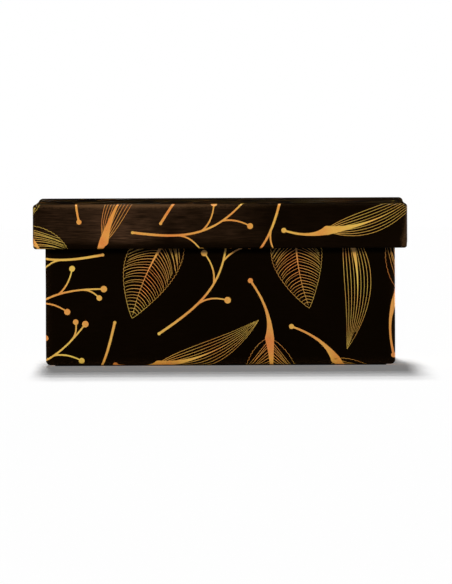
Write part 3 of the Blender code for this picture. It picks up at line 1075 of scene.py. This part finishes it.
strip_low, strip_high = (strip_start, -UNDER_TURN), (strip_end + SEAM_LAP, base.sheet_end)
flat_base_print = placement("base_pattern", strip_low, strip_high, BASE_SHIFT)
apply_tree(flat_base_print, pattern_tree, Motifs=motifs, Ink=gold_print)
base_print = fold_print(flat_base_print, "base_gold_print", base_cuts(), on_base, wrap_round_base)
describe(base_print)


# %% Print the lid's sheet
LID_SHIFT = 0.35, 0.3


def on_lid(x, y):
    """The wall under a place on the lid's sheet, or -1 where no print shows."""
    beyond_x, beyond_y = np.abs(x) - lid.flat_width, np.abs(y) - lid.flat_depth
    beyond = np.maximum(beyond_x, beyond_y)
    limit = MITRE_SLOPE * np.maximum(beyond - lid.rim_end, 0)
    on_short = (beyond_x > 0) & (beyond_y < -limit)
    on_corner = (beyond_x > 0) & (beyond_x < lid.corner)
    on_corner &= (beyond_y > lid.fold_end) & (beyond_y < lid.rim_start)
    on_long = (beyond_y > 0) & ((beyond_x < -limit) | on_corner)
    wall = np.where(beyond < 0, TOP, -1)
    wall = np.where(on_short, np.where(x > 0, RIGHT, LEFT), wall)
    wall = np.where(on_long, np.where(y > 0, BACK, FRONT), wall)
    return np.where(beyond > lid.sheet_end - EDGE_MARGIN, -1, wall)


def lid_cuts():
    """The same for the lid's sheet, whose bends lie on both sides of its middle."""
    bends = np.concatenate([*bend_lines(lid), *ease_lines(), [lid.sheet_end - EDGE_MARGIN]])
    corner = lines(0, lid.corner, BEND_STEPS)
    across = lid.flat_width + np.concatenate([bends, corner])
    up = lid.flat_depth + bends
    across = np.concatenate([-across, across, *tape_rises(lid.flat_width)])
    up = np.concatenate([-up, up, *tape_rises(lid.flat_depth), *tab_rises()])
    return [(0, np.unique(across.round(LINE_DIGITS))), (1, np.unique(up.round(LINE_DIGITS)))]


reach = np.array([lid.flat_width, lid.flat_depth]) + lid.sheet_end
flat_lid_print = placement("lid_pattern", -reach, reach, LID_SHIFT)
apply_tree(flat_lid_print, pattern_tree, Motifs=motifs, Ink=gold_print)
lid_print = fold_print(flat_lid_print, "lid_gold_print", lid_cuts(), on_lid, wrap_over_lid)
# Two strokes touch at one corner and share an edge there. The ink is closed all the same.
describe(lid_print)

# %% [markdown]
# ## Materials from nodes
# A material is a tree of nodes, and the same few turns come back in all of them: start with one
# shader, mix two colours, map one range onto another. Each gets a short function here. Every
# paper also ends alike: its fibres vary the roughness a little and raise the surface.

# %% Start a material
def start_material(material):
    """Clears a material to one Principled shader, and gives its tree and that shader."""
    material.use_nodes = True
    tree = material.node_tree
    tree.nodes.clear()
    shader = add_node(tree, "ShaderNodeBsdfPrincipled")
    add_node(tree, "ShaderNodeOutputMaterial", Surface=shader.outputs[0])
    return tree, shader


def group_node(tree, group, **inputs):
    """A node that runs a shared group, with values or links on its named inputs."""
    return add_node(tree, "ShaderNodeGroup", {"node_tree": group}, **inputs)


def attribute(tree, name, output="Fac"):
    """The output of a shader node that reads a stored value."""
    return add_node(tree, "ShaderNodeAttribute", {"attribute_name": name}).outputs[output]


# %% Mix, map and finish
MOST_FIBRES = 0.3, 0.7


def mix(tree, factor, first, second):
    """The output of a colour mix. Each argument is a value or a socket."""
    first, second = ((*value, 1) if isinstance(value, (tuple, list)) else value
                     for value in (first, second))
    node = add_node(tree, "ShaderNodeMix", {"data_type": "RGBA"}, Factor=factor, A=first, B=second)
    return next(socket for socket in node.outputs if socket.enabled)


def ramp(tree, value, low, high, to_low=0.0, to_high=1.0):
    """The value, mapped from one range onto another and kept inside it."""
    node = add_node(tree, "ShaderNodeMapRange", Value=value, From_Min=low, From_Max=high,
                    To_Min=to_low, To_Max=to_high)
    return node.outputs[0]


def finish_surface(tree, shader, grain, colour, roughness, relief):
    """Links the colour, and lets the fibres vary the roughness and raise the surface."""
    rough = ramp(tree, grain.outputs["Fibres"], *MOST_FIBRES, *roughness)
    raised = add_node(tree, "ShaderNodeBump", Height=grain.outputs["Height"],
                      Distance=relief[0], Strength=relief[1]).outputs[0]
    set_inputs(tree, shader, Base_Color=colour, Roughness=rough, Normal=raised)


# %% [markdown]
# ## Shared effects of paper
# Every surface of the box is some kind of paper, so two effects are node groups, used by all the
# materials with their own values. One is the fibres that lie along the sheet. The other is the
# slow mottling of tone that glue and handling leave.

# %% Fibres
LONG_FIBRES = {"Scale": 1.0, "Detail": 3.0, "Roughness": 0.6}
TOOTH, TOOTH_SHARE = {"Scale": 2600.0, "Detail": 2.0}, 0.4


def fibre_group():
    """Fine fibres that run along the first axis of the given place."""
    tree, given, result = new_group(
        "paper_fibres", "ShaderNodeTree",
        {"Place": ("Vector", None), "Fineness": ("Float", 1500.0), "Stretch": ("Float", 8.0)},
        {"Fibres": ("Float", None), "Height": ("Float", None)})
    place, fineness = given["Place"], given["Fineness"]
    along = math_node(tree, "DIVIDE", fineness, given["Stretch"])
    shape = add_node(tree, "ShaderNodeCombineXYZ", X=along, Y=fineness, Z=fineness).outputs[0]
    drawn_out = math_node(tree, "MULTIPLY", place, shape, kind="ShaderNodeVectorMath")
    long_fibres = add_node(tree, "ShaderNodeTexNoise", Vector=drawn_out, **LONG_FIBRES).outputs[0]
    tooth = add_node(tree, "ShaderNodeTexNoise", Vector=place, **TOOTH).outputs[0]
    tree.links.new(long_fibres, result["Fibres"])
    height = math_node(tree, "MULTIPLY_ADD", tooth, TOOTH_SHARE, long_fibres)
    tree.links.new(height, result["Height"])
    return tree


# %% Mottling
CLOUDS = {"Detail": 4.0, "Roughness": 0.55}


def mottle_group():
    """A slow change of tone, as a mask from 0 to 1."""
    tree, given, result = new_group(
        "paper_mottle", "ShaderNodeTree",
        {"Place": ("Vector", None), "Scale": ("Float", 40.0),
         "Low": ("Float", 0.35), "High": ("Float", 0.65)},
        {"Mask": ("Float", None)})
    clouds = add_node(tree, "ShaderNodeTexNoise", Vector=given["Place"], Scale=given["Scale"],
                      **CLOUDS).outputs[0]
    tree.links.new(ramp(tree, clouds, given["Low"], given["High"]), result["Mask"])
    return tree


fibres, mottle = fibre_group(), mottle_group()
print("shared effects:", fibres.name, "and", mottle.name)

# %% [markdown]
# ## The cover paper
# The paper is dyed nearly black and has a satin, slightly brushed surface. A brown sheen is painted
# on it in fine streaks along the sheet, strongest on the lid's front. At the folds the dye is
# rubbed thin, with painted highlights on the lid's front top fold and right front corner, and the
# cut edges show the paper's brown core.

# %% Where the dye is worn off, or a highlight is painted
NAP, NAP_REACH = {"Fineness": 2600.0, "Stretch": 3.0}, 1.6
WEAR_AND_HIGHLIGHT_CLOUDS, LEAST_WEAR_AND_HIGHLIGHT = {"Scale": 300.0, "Low": 0.30, "High": 0.70}, 0.7
FLECK_RANGE, FLECKS_FROM_WEAR_AND_HIGHLIGHT = (0.1, 0.9), (0.0, 0.12)


def wear_and_highlight_share(tree, sheet):
    """Pale flecks on the raised fibres, the denser the more the paper is worn or painted with a
    highlight.
    """
    wear_and_highlight = attribute(tree, "wear_and_highlight")
    nap = group_node(tree, fibres, Place=sheet, **NAP)
    rough_nap = math_node(tree, "MULTIPLY_ADD", nap.outputs["Fibres"], NAP_REACH, -NAP_REACH / 2)
    flecks = ramp(tree, math_node(tree, "ADD", wear_and_highlight, rough_nap), *FLECK_RANGE)
    flecks = math_node(tree, "MULTIPLY", flecks, ramp(tree, wear_and_highlight, *FLECKS_FROM_WEAR_AND_HIGHLIGHT))
    clouds = group_node(tree, mottle, Place=sheet, **WEAR_AND_HIGHLIGHT_CLOUDS)
    uneven = ramp(tree, clouds.outputs["Mask"], 0.0, 1.0, LEAST_WEAR_AND_HIGHLIGHT, 1.0)
    return math_node(tree, "MULTIPLY", flecks, uneven)


# %% Near-black satin paper
# The brown is a painted sheen. The pale edge colour serves both wear and painted highlights.
INK_BLACK, PAINTED_SHEEN_BROWN = (0.0018, 0.0009, 0.0002), (0.060, 0.0295, 0.0150)
WEAR_AND_HIGHLIGHT_EDGE, PAPER_CORE = (0.075, 0.038, 0.016), (0.060, 0.042, 0.026)
SHEEN_TINT, SHEEN_LEVEL = (0.85, 0.48, 0.18, 1), 0.045
BRUSHED, STREAK_RANGE = {"Fineness": 1300.0, "Stretch": 12.0}, (0.25, 0.70)
SHEEN_CLOUDS = {"Scale": 22.0, "Low": 0.25, "High": 0.60}
COVER_ROUGHNESS, COVER_RELIEF = (0.42, 0.56), (0.00003, 0.5)


def make_cover_paper():
    """Black dye with painted streaks of brown sheen, pale at worn folds and painted highlights,
    brown at cut edges.
    """
    material = bpy.data.materials.new("cover_paper")
    tree, shader = start_material(material)
    sheet = attribute(tree, "sheet", "Vector")
    grain = group_node(tree, fibres, Place=sheet, **BRUSHED)
    clouds = group_node(tree, mottle, Place=sheet, **SHEEN_CLOUDS)
    streaks = ramp(tree, grain.outputs["Fibres"], *STREAK_RANGE)
    sheen = math_node(tree, "MULTIPLY", streaks, clouds.outputs["Mask"])
    # The brown sheen is painted into the colour, strongest on the lid's front.
    painted_sheen = math_node(tree, "MULTIPLY", sheen, attribute(tree, "painted_sheen_amount"))
    colour = mix(tree, painted_sheen, INK_BLACK, PAINTED_SHEEN_BROWN)
    # Pale flecks: wear at the folds, rim and corners, and painted highlights on the lid's front
    # fold and right front corner.
    colour = mix(tree, wear_and_highlight_share(tree, sheet), colour, WEAR_AND_HIGHLIGHT_EDGE)
    colour = mix(tree, attribute(tree, "core"), colour, PAPER_CORE)
    finish_surface(tree, shader, grain, colour, COVER_ROUGHNESS, COVER_RELIEF)
    set_inputs(tree, shader, Specular_IOR_Level=SHEEN_LEVEL, Specular_Tint=SHEEN_TINT)
    return material


cover_paper = make_cover_paper()
print(cover_paper.name, "nodes:", len(cover_paper.node_tree.nodes))

# %% [markdown]
# ## The gold print
# Gold ink on paper is flakes in a clear binder, so the shader is only partly metallic and has a
# satin coat. From low down the coat hides the gold, as it does on the lid's top in a front view.
# The tone goes from orange at the stems to yellow at the tips, with slow changes across the
# sheet, and the finest specks of paper show through it.

# %% Orange to yellow gold ink
ORANGE_GOLD, YELLOW_GOLD = (0.74, 0.205, 0.036), (0.81, 0.555, 0.090)
PALE_GOLD = 0.87, 0.56, 0.20
TIP_SHARE, CLOUD_SHARE, TONE_RANGE = 0.6, 0.75, (0.12, 1.05)
TONE_CLOUDS = {"Scale": 30.0, "Low": 0.36, "High": 0.64}
FLAKES = {"Fineness": 2400.0, "Stretch": 2.0}
GLINT_RANGE, GLINT_SHARE, SPECK_RANGE = (0.55, 0.75), 0.5, (0.34, 0.28)


def gold_colour(tree, sheet, flakes):
    """The tone along and across the sheet, with glints and specks from the flakes."""
    clouds = group_node(tree, mottle, Place=sheet, **TONE_CLOUDS)
    along = math_node(tree, "MULTIPLY", attribute(tree, "tip"), TIP_SHARE)
    across = math_node(tree, "MULTIPLY", clouds.outputs["Mask"], CLOUD_SHARE)
    tone = ramp(tree, math_node(tree, "ADD", along, across), *TONE_RANGE)
    colour = mix(tree, tone, ORANGE_GOLD, YELLOW_GOLD)
    glint = math_node(tree, "MULTIPLY", ramp(tree, flakes, *GLINT_RANGE), GLINT_SHARE)
    colour = mix(tree, glint, colour, PALE_GOLD)
    # Specks of paper that show through the ink take the painted sheen's brown.
    return mix(tree, ramp(tree, flakes, *SPECK_RANGE), colour, PAINTED_SHEEN_BROWN)


# %% Finish the ink
METAL_SHARE, COAT_ROUGHNESS, COAT_IOR = 0.3, 0.10, 1.6
INK_ROUGHNESS, INK_RELIEF = (0.38, 0.52), (0.00002, 0.4)


def finish_gold_print(material):
    """Partly metallic ink with a satin coat. Its sides are painted black as shade, without the
    coat.
    """
    tree, shader = start_material(material)
    sheet = attribute(tree, "sheet", "Vector")
    grain = group_node(tree, fibres, Place=sheet, **FLAKES)
    # The sides of a stroke are thinner than a hair. They take the paper's black as painted shade,
    # so that lit sides don't brighten the lid's top in a low view.
    side = attribute(tree, "core")
    colour = mix(tree, side, gold_colour(tree, sheet, grain.outputs["Fibres"]), INK_BLACK)
    finish_surface(tree, shader, grain, colour, INK_ROUGHNESS, INK_RELIEF)
    metal = ramp(tree, side, 0.0, 1.0, METAL_SHARE, 0.0)
    coat = math_node(tree, "SUBTRACT", 1.0, side)
    set_inputs(tree, shader, Metallic=metal, Coat_Weight=coat,
               Coat_Roughness=COAT_ROUGHNESS, Coat_IOR=COAT_IOR)


finish_gold_print(gold_print)
print(gold_print.name, "nodes:", len(gold_print.node_tree.nodes))

# %% [markdown]
# ## The papers inside and underneath
# The linings are plain off-white paper, the boards grey with flecks of old print, the corner
# tapes brown kraft, and the sheet underneath plain black. One function makes them all, because
# they differ only in colours and in how coarse their fibres are.

# %% The look of each plain paper
@dataclass
class Paper:
    """The look of one plain paper."""

    light: tuple
    dark: tuple
    fleck: tuple
    fineness: float
    stretch: float
    flecks: float
    roughness: float


# Colours light, dark and of the flecks, then fineness, stretch, start of the flecks, roughness.
PAPERS = {
    "lining_paper": Paper((0.72, 0.67, 0.57), (0.64, 0.58, 0.48), (0.42, 0.34, 0.25),
                          900.0, 3.0, 0.67, 0.85),
    "greyboard": Paper((0.36, 0.32, 0.27), (0.27, 0.24, 0.20), (0.10, 0.09, 0.08),
                       700.0, 3.0, 0.62, 0.92),
    "gummed_tape": Paper((0.48, 0.32, 0.17), (0.38, 0.24, 0.12), (0.22, 0.13, 0.06),
                         1100.0, 9.0, 0.64, 0.6),
    "underside_paper": Paper((0.017, 0.015, 0.013), (0.008, 0.007, 0.006), (0.05, 0.045, 0.04),
                             900.0, 3.0, 0.70, 0.8),
}

# %% Make the plain papers
PLAIN_CLOUDS = {"Scale": 26.0, "Low": 0.3, "High": 0.7}
FLECK_EDGE, ROUGHNESS_SPREAD, PLAIN_RELIEF = 0.05, 0.05, (0.00006, 0.5)


def make_plain_paper(name, paper):
    """A paper whose tone goes from light to dark with its fibres, and has flecks."""
    material = bpy.data.materials.new(name)
    tree, shader = start_material(material)
    place = add_node(tree, "ShaderNodeTexCoord").outputs["Object"]
    grain = group_node(tree, fibres, Place=place, Fineness=paper.fineness, Stretch=paper.stretch)
    clouds = group_node(tree, mottle, Place=place, **PLAIN_CLOUDS)
    tone = math_node(tree, "MULTIPLY", grain.outputs["Fibres"], clouds.outputs["Mask"])
    colour = mix(tree, tone, paper.light, paper.dark)
    flecks = ramp(tree, grain.outputs["Fibres"], paper.flecks, paper.flecks + FLECK_EDGE)
    colour = mix(tree, flecks, colour, paper.fleck)
    roughness = paper.roughness - ROUGHNESS_SPREAD, paper.roughness + ROUGHNESS_SPREAD
    finish_surface(tree, shader, grain, colour, roughness, PLAIN_RELIEF)
    return material


plain_papers = {name: make_plain_paper(name, paper) for name, paper in PAPERS.items()}
print("plain papers:", ", ".join(plain_papers))

# %% Give every piece its finish
for piece in (base_cover, lid_cover):
    piece.data.materials.append(cover_paper)
for piece in (base_print, lid_print):
    piece.data.materials.append(gold_print)
for subpart in frame["record"]["subparts"]:
    made = bpy.data.objects[subpart["node"]]
    finish = plain_papers.get(subpart["material_slot"], cover_paper)
    for slot in made.material_slots:
        slot.material = finish

# %% [markdown]
# ## What moves with what
# The lid's sheet and its print move with the lid, the base's with the base. The two covers stand
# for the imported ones, which stay behind for the simulation only.

# %% Fasten the pieces to their bodies
for piece, body, slot_name in (
    (base_cover, "base", "cover_paper"), (base_print, "base", "gold_print"),
    (lid_cover, "lid", "cover_paper"), (lid_print, "lid", "gold_print"),
):
    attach(piece, body)
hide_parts("base_cover_paper")
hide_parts("lid_cover_paper")
print("fastened:", base_cover.name, base_print.name, lid_cover.name, lid_print.name)

# %% [markdown]
# ## The camera
# The photograph was taken from far away with a long lens, slightly above the lid: the lid's back
# edge is only a little shorter than its front edge, and the top is a thin band. From those two
# measures follow the distance and the height of the camera.

# %% Place the camera
PHOTO_WIDTH, PHOTO_HEIGHT = 452, 584
LID_LEFT, LID_RIGHT = 33.3, 407.3
LID_FRONT_EDGE, LID_BACK_EDGE = 203.7, 197.7
BACK_EDGE_SHARE = 0.969
CAMERA_SIDEWAYS = 0.016
CAMERA_ROLL = math.radians(-0.25)
SENSOR, FAR_CLIP = 36.0, 100

lid_low, lid_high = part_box("lid_cover_paper")
pixel = (lid_high.x - lid_low.x) / (LID_RIGHT - LID_LEFT)
distance = (lid_high.y - lid_low.y) * BACK_EDGE_SHARE / (1 - BACK_EDGE_SHARE)
rise = (LID_FRONT_EDGE - LID_BACK_EDGE) * pixel / (1 - BACK_EDGE_SHARE)
lens = bpy.data.cameras.new("camera")
lens.sensor_width = SENSOR
lens.lens = SENSOR * distance / (PHOTO_HEIGHT * pixel)
lens.clip_end = FAR_CLIP
camera = add_object("camera", lens)
bpy.context.scene.camera = camera
camera.location = (CAMERA_SIDEWAYS, lid_low.y - distance, lid_high.z + rise)
aim = Vector((
    (PHOTO_WIDTH / 2 - (LID_LEFT + LID_RIGHT) / 2) * pixel,
    lid_low.y,
    lid_high.z - (PHOTO_HEIGHT / 2 - LID_FRONT_EDGE) * pixel,
))
facing = (aim - camera.location).to_track_quat("-Z", "Y")
camera.rotation_euler = (facing @ Quaternion((0, 0, 1), CAMERA_ROLL)).to_euler()
print("camera", [round(c, 3) for c in camera.location], "lens", round(lens.lens, 1))

# %% [markdown]
# ## Floor and light
# The box stands on a plain white floor, which is see-through from below, so that the underside
# can be looked at. Two small lamps low in front, the key and the fill, light the box at a level
# at which its colours come out as they are written. They don't show in reflections, because the
# ink's coat would mirror them as a glare on the lid's top, seen from behind. A lamp overhead and
# one at the rear light the other sides, and one below lights the underside. Four soft suns behind
# the box light only the floor and throw the shadow that shows below the box. Light linking keeps
# the lamps and the suns apart.

# %% The floor
FLOOR_REACH, FLOOR_DROP = 3.0, 0.0002
FLOOR_TONE, FLOOR_GLOW, FLOOR_BOUNCE, FLOOR_ROUGHNESS = 0.9, 0.2, 0.35, 0.9
WHITE = 1, 1, 1, 1


def make_floor():
    """A white sheet that looks brighter to the camera than the light that it throws back."""
    corners = np.array([(-1, -1, 0), (1, -1, 0), (1, 1, 0), (-1, 1, 0)]) * FLOOR_REACH
    made = mesh_object("floor", corners - (0, 0, FLOOR_DROP), [(0, 1, 2, 3)], {})
    material = bpy.data.materials.new("white_floor")
    tree, shader = start_material(material)
    seen = add_node(tree, "ShaderNodeLightPath").outputs["Is Camera Ray"]
    tone = mix(tree, seen, [FLOOR_BOUNCE] * 3, [FLOOR_TONE] * 3)
    glow = math_node(tree, "MULTIPLY", seen, FLOOR_GLOW)
    from_below = add_node(tree, "ShaderNodeNewGeometry").outputs["Backfacing"]
    from_above = math_node(tree, "SUBTRACT", 1.0, from_below)
    set_inputs(tree, shader, Base_Color=tone, Roughness=FLOOR_ROUGHNESS, Specular_IOR_Level=0.0,
               Emission_Color=WHITE, Emission_Strength=glow, Alpha=from_above)
    made.data.materials.append(material)
    return made


floor = make_floor()
print(floor.name, "side, metres:", 2 * FLOOR_REACH)

# %% Which light falls on the floor
floor_only = bpy.data.collections.new("floor_only")
all_but_floor = bpy.data.collections.new("all_but_floor")
for lit, state in ((floor_only, "INCLUDE"), (all_but_floor, "EXCLUDE")):
    lit.objects.link(floor)
    lit.collection_objects[0].light_linking.link_state = state

# %% Lamps
BOX_MIDDLE = Vector((0, 0, 0.045))

# Each lamp: direction and elevation in degrees, distance and size in metres, power in watts.
LAMPS = {
    "key": ((-40, 21), 1.6, 0.3, 27),
    "fill": ((50, 17), 2.0, 0.4, 22.5),
    "overhead": ((0, 80), 1.8, 1.0, 7),
    "under": ((180, -80), 2.0, 0.6, 30),
    "rear": ((120, 10), 2.0, 0.5, 30),
}
UNSEEN_IN_GLOSS = "key", "fill", "under"


def lamp(name, direction, distance, size, power):
    """A square lamp that faces the box from a direction and an elevation, in degrees."""
    turn, rise = (math.radians(angle) for angle in direction)
    data = bpy.data.lights.new(name, "AREA")
    data.size, data.energy = size, power
    made = add_object(name, data)
    level = math.cos(rise)
    toward = Vector((level * math.sin(turn), -level * math.cos(turn), math.sin(rise)))
    made.location = BOX_MIDDLE + toward * distance
    made.rotation_euler = toward.to_track_quat("Z", "Y").to_euler()
    made.light_linking.receiver_collection = all_but_floor
    made.visible_glossy = name not in UNSEEN_IN_GLOSS
    return made


lamps = {name: lamp(name, *setting) for name, setting in LAMPS.items()}
# The floor doesn't stop the light from below.
lamps["under"].light_linking.blocker_collection = all_but_floor
print("lamps:", ", ".join(lamps))

# %% Suns for the shadow
# One above the other they act as a tall, narrow light: elevation in degrees, and strength.
SUNS = [(26, 1.89), (33, 1.87), (41, 0.80), (51, 0.50)]
SUN_TURN, SUN_DISTANCE, SUN_SOFTNESS = -177.5, 3.0, math.radians(5)

for elevation, strength in SUNS:
    sun = lamp(f"sun_{elevation}", (SUN_TURN, elevation), SUN_DISTANCE, 1.0, strength)
    sun.data.type = "SUN"
    sun.data.angle = SUN_SOFTNESS
    sun.light_linking.receiver_collection = floor_only
print("suns:", len(SUNS), "at elevations", [elevation for elevation, _ in SUNS])

# %% The surroundings
# The camera sees them white. They throw almost no light on the box.
SURROUNDING_LIGHT = 0.002

world = bpy.data.worlds.new("studio")
bpy.context.scene.world = world
world.use_nodes = True
tree = world.node_tree
tree.nodes.clear()
around = add_node(tree, "ShaderNodeBackground", Color=WHITE, Strength=SURROUNDING_LIGHT)
behind_all = add_node(tree, "ShaderNodeBackground", Color=WHITE, Strength=1.0)
either = add_node(tree, "ShaderNodeMixShader")
seen = add_node(tree, "ShaderNodeLightPath").outputs["Is Camera Ray"]
for socket, value in zip(either.inputs, (seen, around.outputs[0], behind_all.outputs[0])):
    feed(tree, socket, value)
add_node(tree, "ShaderNodeOutputWorld", Surface=either.outputs[0])
bpy.context.scene.view_settings.view_transform = "Standard"
